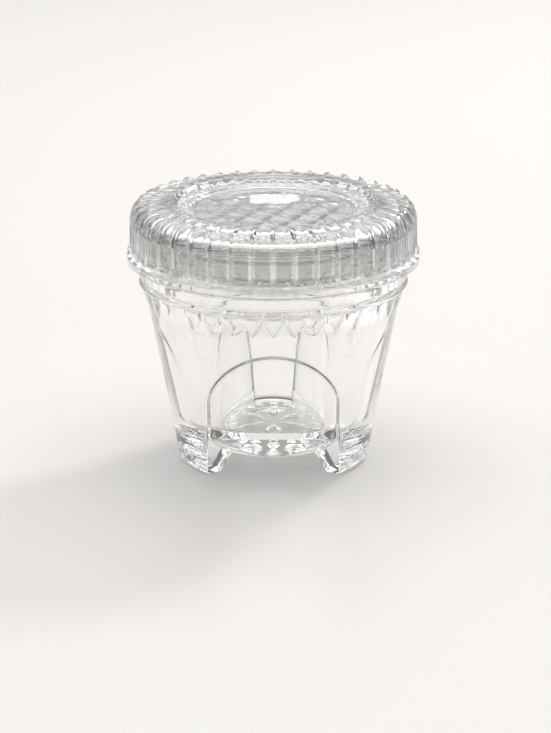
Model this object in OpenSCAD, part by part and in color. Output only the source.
// Lidded salt cellar of clear pressed glass.
// The body is a thick bowl that stands on three short feet. Three flat panels
// are cut into its tapering wall, and each panel has an arched niche that shows
// the round bowl between two feet. A row of hanging tongues runs under the collar.
// The lid is a fluted cap that sits on the collar, over the neck of the bowl.
// Origin: centre of the body, at the table. +Z is up, and one panel faces -Y.
// Lengths are millimetres.

/* [Body wall] */

// Radius of the wall at the table, over the feet
foot_r = 28.6; // [24:0.1:36]
// Radius of the wall at the top of the feet
ankle_r = 29.9; // [25:0.1:38]
// Height of the top of the feet
ankle_z = 12.5; // [8:0.5:18]
// Radius of the wall just over the arches
hip_r = 34.6; // [30:0.1:42]
// Height just over the arches
hip_z = 38.5; // [32:0.5:44]
// Radius of the wall under the collar
wall_top_r = 36.8; // [32:0.1:44]
// Height of the underside of the collar
wall_top_z = 51.6; // [48:0.1:60]
// Width of the bevel under each foot
foot_bevel = 1.1; // [0.4:0.1:2]
// Height of the bevel under each foot
foot_bevel_h = 1.9; // [0.6:0.1:3]

/* [Collar and neck] */

// How far the smooth collar band stands out of the wall
band_proud = 1.8; // [1:0.1:3]
// Height of the lower edge of the band
band_low_z = 54.3; // [50:0.1:62]
// Height of the upper edge of the band
band_top_z = 57.2; // [53:0.1:66]
// Height of the seat that carries the lid
seat_z = 58.4; // [54:0.1:68]
// Radius of the bead under the band, across its section
bead_r = 0.95; // [0.5:0.05:1.5]
// Width of the seat around the neck, which carries the lid
seat_w = 2.2; // [1.4:0.1:4]
// Height of the rim of the neck
rim_z = 67; // [62:0.5:76]
// Width of the rounding on the rim
rim_round = 1.1; // [0.4:0.1:2]

/* [Bowl] */

// Height of the underside of the bowl
bowl_low_z = 5; // [3:0.1:9]
// Radius of the round bowl low in the niches
bowl_r = 19.4; // [16:0.1:24]
// Radius of the bowl behind the springing of the arches
bowl_mid_r = 21.8; // [18:0.1:27]
// Radius of the bowl behind the top of the arches
bowl_high_r = 25.4; // [20:0.1:30]
// Rounding of the lower edge of the bowl
bowl_round = 1.9; // [0.8:0.1:3]
// Thickness of the floor of the bowl
bowl_floor = 4.5; // [2.5:0.1:7]
// Radius of the hollow at its floor
hollow_low_r = 15.6; // [12:0.1:19]
// Rounding of the hollow at its floor
hollow_round = 2.2; // [1:0.1:4]
// Radius of the hollow under the collar
hollow_mid_r = 22.8; // [19:0.1:28]
// Height where the hollow starts to flare
hollow_mid_z = 46; // [40:0.5:50]
// Thickness of the neck at the mouth of the hollow
neck_wall = 4.8; // [3:0.1:7]

/* [Panels and niches] */

// Number of panels, which is also the number of feet
panel_count = 3; // [3:1:4]
// Distance from the axis to a panel at the table
panel_foot_r = 20.6; // [18:0.1:26]
// Outward lean of a panel, in degrees
panel_lean = 12.4; // [6:0.1:16]
// Half of the width of a niche
niche_half = 19.2; // [14:0.1:24]
// Height of the springing of the arch, along the panel
niche_spring = 23.1; // [16:0.1:30]
// Rise of the arch over its springing, along the panel
niche_rise = 16.2; // [13:0.1:22]
// Radius of the side arcs of the arch
niche_side_r = 12.6; // [9:0.1:15]
// Draft of the walls of a niche, in degrees
niche_draft = 35; // [10:1:40]
// Depth that the niche tool reaches behind the panel
niche_depth = 17; // [12:0.5:24]
// Radius of the hollow between the feet at the table
under_foot_r = 22.3; // [18:0.1:27]
// Radius of the hollow between the feet at the bowl
under_bowl_r = 19.6; // [17:0.1:24]

/* [Tongues] */

// Number of tongues under the collar
tongue_count = 39; // [24:3:60]
// Radius of one tongue
tongue_r = 2.2; // [1.2:0.1:3]
// Height of the lower tips of the tongues
tongue_low_z = 45.6; // [40:0.1:49]
// How far the tongues stand out of the wall
tongue_proud = 0.5; // [0.2:0.05:1]
// Number of tongues that hang free over each panel
tongue_free = 7; // [3:2:11]

/* [Rosette under the bowl] */

// Number of petals
petal_count = 6; // [4:1:12]
// Radius where the petals start
petal_in_r = 3.6; // [2:0.1:6]
// Radius where the petals end
petal_out_r = 13.6; // [9:0.1:15]
// Width of one petal
petal_w = 4.4; // [2:0.1:6]
// Depth of the pressed rosette
rosette_depth = 0.9; // [0.3:0.1:1.5]
// Number of dimples around the petals
dimple_count = 18; // [9:3:30]
// Radius of one dimple
dimple_r = 1.3; // [0.6:0.1:2]
// Radius of the ring of dimples
dimple_ring_r = 15.9; // [12:0.1:17]

/* [Lid] */

// How far the lip stands out of the foot of the skirt
lip_proud = 1; // [0.4:0.1:2]
// Radius of the rounding of the lip
lip_round = 1.2; // [0.6:0.1:2]
// Height of the middle of the lip over the seat
lip_rise = 1.8; // [1.2:0.1:3]
// Thickness of the fluted skirt at its foot
skirt_wall = 3.7; // [2.4:0.1:5]
// How far the skirt draws in from its foot to the shoulder
skirt_draft = 0.6; // [0.2:0.1:1.5]
// Radius of the rounding of the shoulder
shoulder_round = 4.8; // [3:0.1:7]
// Height of the crown
crown_z = 75.8; // [70:0.1:84]
// Radius of the outer edge of the toothed ring
ring_out_r = 28.1; // [24:0.1:32]
// Radius of the inner edge of the toothed ring
ring_in_r = 23.9; // [20:0.1:28]
// Drop from the crown to the outer edge of the toothed ring
ring_out_drop = 0.8; // [0.3:0.1:1.5]
// Drop from the crown to the inner edge of the toothed ring
ring_in_drop = 1.6; // [0.8:0.1:2.5]
// Radius of the patterned disc
disc_r = 23.3; // [18:0.1:27]
// Drop from the crown to the patterned disc
disc_drop = 2.6; // [1.5:0.1:4]
// Height of the ceiling inside the lid
ceiling_z = 69.8; // [66:0.1:78]
// Width of the cove between the ceiling and the bore
ceiling_cove = 1.4; // [0.5:0.1:3]
// Clearance around the neck at the foot of the lid
neck_clearance = 0.9; // [0.4:0.1:1.5]
// Taper of the bore of the lid towards its ceiling
bore_taper = 0.4; // [0.1:0.1:0.8]

/* [Flutes] */

// Number of flutes around the lid
flute_count = 42; // [24:2:60]
// Radius of one flute across its section
flute_r = 6.2; // [4:0.1:9]
// Depth of the flutes on the skirt
flute_depth = 0.8; // [0.3:0.05:1.2]
// Depth of the flutes at the outer edge of the toothed ring
flute_ring_depth = 0.45; // [0.2:0.05:0.8]
// Height of the foot of the flutes over the middle of the lip
flute_rise = 2; // [1:0.1:4]

/* [Quilted disc] */

// Distance from one groove to the next
quilt_pitch = 6.7; // [4:0.1:10]
// Side of the square bar that presses one groove
quilt_bar = 0.9; // [0.4:0.1:1.6]
// Half of the angle between the two sets of grooves, in degrees
quilt_half_angle = 31; // [20:1:45]
// Turn of the whole pattern, in degrees
quilt_turn = 7.5; // [-30:0.5:30]
// Plain margin around the pattern
quilt_margin = 0.9; // [0.4:0.1:3]

/* [Hidden] */

$fn = 96;

// Overrun of every cut past the solid that it cuts
over = 1;

// Share of the bead's radius by which its centre lies outside the wall
bead_out_share = 0.8;

// Collar, neck and lid all follow the top of the wall
band_r = wall_top_r + band_proud;
bead_mid_r = wall_top_r + bead_r * bead_out_share;
neck_r = band_r - seat_w;
mouth_r = neck_r - neck_wall;
bore_low_r = neck_r + neck_clearance;
bore_top_r = bore_low_r - bore_taper;
skirt_low_r = bore_low_r + skirt_wall;
skirt_top_r = skirt_low_r - skirt_draft;
lip_r = skirt_low_r + lip_proud;

panel_step = 360 / panel_count;
tongue_step = 360 / tongue_count;
flute_step = 360 / flute_count;

// Arch of three arcs: the crown arc runs on from the side arcs without a corner
arch_side_x = niche_half - niche_side_r;
crown_arc_r = (pow(arch_side_x, 2) + pow(niche_rise, 2) - pow(niche_side_r, 2))
    / (2 * (niche_rise - niche_side_r));
crown_arc_drop = crown_arc_r - niche_rise;
draft_slope = tan(niche_draft);

// Top of a panel, measured along its lean
panel_top = wall_top_z / cos(panel_lean);

// The wall between the hip and the collar
wall_slope = (wall_top_r - hip_r) / (wall_top_z - hip_z);
tongue_lean = atan(wall_slope);
tongue_tip_z = tongue_low_z + tongue_r;
tongue_tip_r = hip_r + wall_slope * (tongue_tip_z - hip_z) + tongue_proud - tongue_r;
tongue_web_r = tongue_r - tongue_proud / 3;
tongue_h = wall_top_z - tongue_tip_z + bead_r;

// Heights on the bowl behind the springing and behind the top of the arches
bowl_mid_z = niche_spring * cos(panel_lean);
bowl_high_z = (niche_spring + niche_rise) * cos(panel_lean);
bowl_waist_z = (bowl_low_z + bowl_mid_z) / 2;
hollow_floor_z = bowl_low_z + bowl_floor;

// One petal is the overlap of two round discs
petal_len = petal_out_r - petal_in_r;
petal_disc_r = (pow(petal_len, 2) + pow(petal_w, 2)) / (4 * petal_w);

// Middle of the lip, foot of the flutes and centre of the shoulder's rounding
lip_z = seat_z + lip_rise;
flute_low_z = lip_z + flute_rise;
shoulder_r = skirt_top_r - shoulder_round;
shoulder_z = crown_z - shoulder_round;
skirt_lean = atan((skirt_low_r - skirt_top_r) / (shoulder_z - lip_z));

// Axis of a flute over the crown: it rises outwards as the flutes widen
crown_axis_in_z = crown_z - ring_out_drop + flute_r - flute_ring_depth;
crown_axis_out_z = crown_z + flute_r - flute_depth;
crown_axis_lean = atan((crown_axis_out_z - crown_axis_in_z) / (shoulder_r - ring_out_r));
crown_axis_len = lip_r - ring_in_r;

quilt_r = disc_r - quilt_margin;
quilt_lines = ceil(quilt_r / quilt_pitch);

glass = [0.90, 0.93, 0.93, 0.45];

// Places its children on each panel: x across, y up along the panel, z outwards
module on_panels() {
    for (i = [0 : panel_count - 1]) {
        rotate([0, 0, i * panel_step])
            translate([0, -panel_foot_r, 0])
                rotate([90 + panel_lean, 0, 0])
                    children();
    }
}

// The round wall with its foot bevel, its bead, its collar band and its neck
module body_blank() {
    rotate_extrude() {
        polygon([
            [0, 0],
            [foot_r - foot_bevel, 0],
            [foot_r, foot_bevel_h],
            [ankle_r, ankle_z],
            [hip_r, hip_z],
            [wall_top_r, wall_top_z],
            [wall_top_r, band_low_z],
            [band_r, band_low_z],
            [band_r, band_top_z],
            [band_r - (seat_z - band_top_z), seat_z],
            [neck_r, seat_z],
            [neck_r, rim_z - rim_round],
            [neck_r - rim_round, rim_z],
            [0, rim_z]
        ]);
        translate([bead_mid_r, wall_top_z + bead_r])
            circle(r = bead_r);
    }
}

// The solid in front of each leaning panel, up to the underside of the collar
module panel_cuts() {
    on_panels()
        translate([-wall_top_r, -foot_r, 0])
            cube([2 * wall_top_r, panel_top + foot_r, wall_top_r]);
}

// One niche: an arch of three arcs over straight legs, its walls drafted inwards
module niche_tool() {
    inner_half = niche_half - niche_depth * draft_slope;
    outer_half = niche_half + over * draft_slope;
    tool_h = niche_depth + over;
    translate([0, niche_spring, 0])
        rotate([90, 0, 0])
            linear_extrude(height = niche_spring + foot_r)
                polygon([
                    [-inner_half, -niche_depth],
                    [inner_half, -niche_depth],
                    [outer_half, over],
                    [-outer_half, over]
                ]);
    translate([0, niche_spring, -niche_depth]) {
        for (side = [-1, 1]) {
            translate([side * arch_side_x, 0, 0])
                cylinder(
                    r1 = niche_side_r - niche_depth * draft_slope,
                    r2 = niche_side_r + over * draft_slope,
                    h = tool_h
                );
        }
        intersection() {
            translate([0, -crown_arc_drop, 0])
                cylinder(
                    r1 = crown_arc_r - niche_depth * draft_slope,
                    r2 = crown_arc_r + over * draft_slope,
                    h = tool_h
                );
            linear_extrude(height = tool_h)
                polygon([
                    [0, -crown_arc_drop],
                    [arch_side_x * crown_arc_r / crown_arc_drop, crown_arc_r - crown_arc_drop],
                    [-arch_side_x * crown_arc_r / crown_arc_drop, crown_arc_r - crown_arc_drop]
                ]);
        }
    }
}

// The round bowl that the niches leave standing
module bowl_core() {
    rotate_extrude() {
        polygon([
            [0, bowl_low_z],
            [bowl_r - bowl_round, bowl_low_z],
            [bowl_r, bowl_low_z + bowl_round],
            [bowl_r, bowl_waist_z],
            [bowl_mid_r, bowl_mid_z],
            [bowl_high_r, bowl_high_z],
            [hip_r, wall_top_z],
            [0, wall_top_z]
        ]);
        translate([bowl_r - bowl_round, bowl_low_z + bowl_round])
            circle(r = bowl_round);
    }
}

// The hollow that holds the salt
module hollow() {
    rotate_extrude() {
        polygon([
            [0, hollow_floor_z],
            [hollow_low_r - hollow_round, hollow_floor_z],
            [hollow_low_r, hollow_floor_z + hollow_round],
            [hollow_mid_r, hollow_mid_z],
            [mouth_r, rim_z - rim_round],
            [mouth_r, rim_z + over],
            [0, rim_z + over]
        ]);
        translate([hollow_low_r - hollow_round, hollow_floor_z + hollow_round])
            circle(r = hollow_round);
    }
}

// One round tongue that hangs down the wall under the collar
module tongue() {
    translate([0, -tongue_tip_r, tongue_tip_z]) {
        rotate([tongue_lean, 0, 0])
            rotate_extrude()
                intersection() {
                    union() {
                        circle(r = tongue_r);
                        translate([-tongue_r, 0])
                            square([2 * tongue_r, tongue_h]);
                    }
                    translate([0, -tongue_r])
                        square([tongue_r, tongue_r + tongue_h]);
                }
    }
}

// The web that joins a free tongue to the panel behind it
module tongue_web() {
    translate([0, -panel_foot_r, tongue_tip_z])
        rotate([90, 0, 0])
            linear_extrude(height = tongue_tip_r - panel_foot_r) {
                circle(r = tongue_web_r);
                translate([-tongue_web_r, 0])
                    square([2 * tongue_web_r, tongue_h]);
            }
}

module tongues() {
    for (i = [0 : tongue_count - 1]) {
        rotate([0, 0, i * tongue_step])
            tongue();
    }
    for (p = [0 : panel_count - 1], i = [0 : tongue_free - 1]) {
        rotate([0, 0, p * panel_step + (i - (tongue_free - 1) / 2) * tongue_step])
            tongue_web();
    }
}

// The hollow between the feet, under the bowl
module under_bowl() {
    translate([0, 0, -over])
        cylinder(r = under_foot_r, h = over);
    cylinder(r1 = under_foot_r, r2 = under_bowl_r, h = bowl_low_z);
}

// One of the two round discs whose overlap is a petal
module petal_disc(side) {
    translate([side * (petal_disc_r - petal_w / 2), (petal_in_r + petal_out_r) / 2, 0])
        cylinder(r = petal_disc_r, h = rosette_depth + over);
}

// A rosette pressed into the underside of the bowl
module rosette() {
    translate([0, 0, bowl_low_z - over]) {
        for (i = [0 : petal_count - 1]) {
            rotate([0, 0, i * 360 / petal_count])
                intersection() {
                    petal_disc(1);
                    petal_disc(-1);
                }
        }
    }
    for (i = [0 : dimple_count - 1]) {
        rotate([0, 0, i * 360 / dimple_count])
            translate([0, dimple_ring_r, bowl_low_z + rosette_depth / 2 - dimple_r])
                sphere(r = dimple_r);
    }
}

module body() {
    color(glass)
        difference() {
            union() {
                difference() {
                    body_blank();
                    panel_cuts();
                }
                tongues();
            }
            difference() {
                on_panels()
                    niche_tool();
                bowl_core();
            }
            under_bowl();
            rosette();
            hollow();
        }
}

// The round cap with its lip, its shoulder, its ring and its sunk disc
module lid_blank() {
    lip_mid_r = lip_r - lip_round;
    shoulder_arc = [
        for (a = [90 : -15 : 0])
            [shoulder_r + shoulder_round * cos(a), shoulder_z + shoulder_round * sin(a)]
    ];
    lip_arc = [
        for (a = [60 : -30 : -90])
            [lip_mid_r + lip_round * cos(a), lip_z + lip_round * sin(a)]
    ];
    rotate_extrude()
        polygon(concat(
            [
                [0, ceiling_z],
                [0, crown_z - disc_drop],
                [disc_r, crown_z - disc_drop],
                [ring_in_r, crown_z - ring_in_drop],
                [ring_out_r, crown_z - ring_out_drop]
            ],
            shoulder_arc,
            [[skirt_low_r, lip_z + lip_round]],
            lip_arc,
            [
                [lip_mid_r, seat_z],
                [bore_low_r, seat_z],
                [bore_top_r, ceiling_z - ceiling_cove],
                [bore_top_r - ceiling_cove, ceiling_z]
            ]
        ));
}

// Concave flutes up the skirt, each with its own run over the shoulder and crown
module flutes() {
    for (i = [0 : flute_count - 1]) {
        rotate([0, 0, (i + 0.5) * flute_step]) {
            translate([0, -skirt_low_r - flute_r + flute_depth, flute_low_z])
                rotate([-skirt_lean, 0, 0])
                    cylinder(r = flute_r, h = crown_z - flute_low_z);
            translate([0, -ring_out_r, crown_axis_in_z])
                rotate([90 - crown_axis_lean, 0, 0])
                    translate([0, 0, ring_in_r - ring_out_r])
                        cylinder(r = flute_r, h = crown_axis_len);
        }
    }
}

// Two sets of crossing grooves under the disc, which leave a quilt of diamonds
module quilt() {
    intersection() {
        translate([0, 0, ceiling_z - over])
            cylinder(r = quilt_r, h = 2 * over);
        for (side = [-1, 1], i = [-quilt_lines : quilt_lines]) {
            rotate([0, 0, quilt_turn + side * quilt_half_angle])
                translate([(i + 0.5) * quilt_pitch, 0, ceiling_z])
                    rotate([0, 45, 0])
                        cube([quilt_bar, 2 * disc_r, quilt_bar], center = true);
        }
    }
}

module lid() {
    color(glass)
        difference() {
            lid_blank();
            flutes();
            quilt();
        }
}

body();
lid();
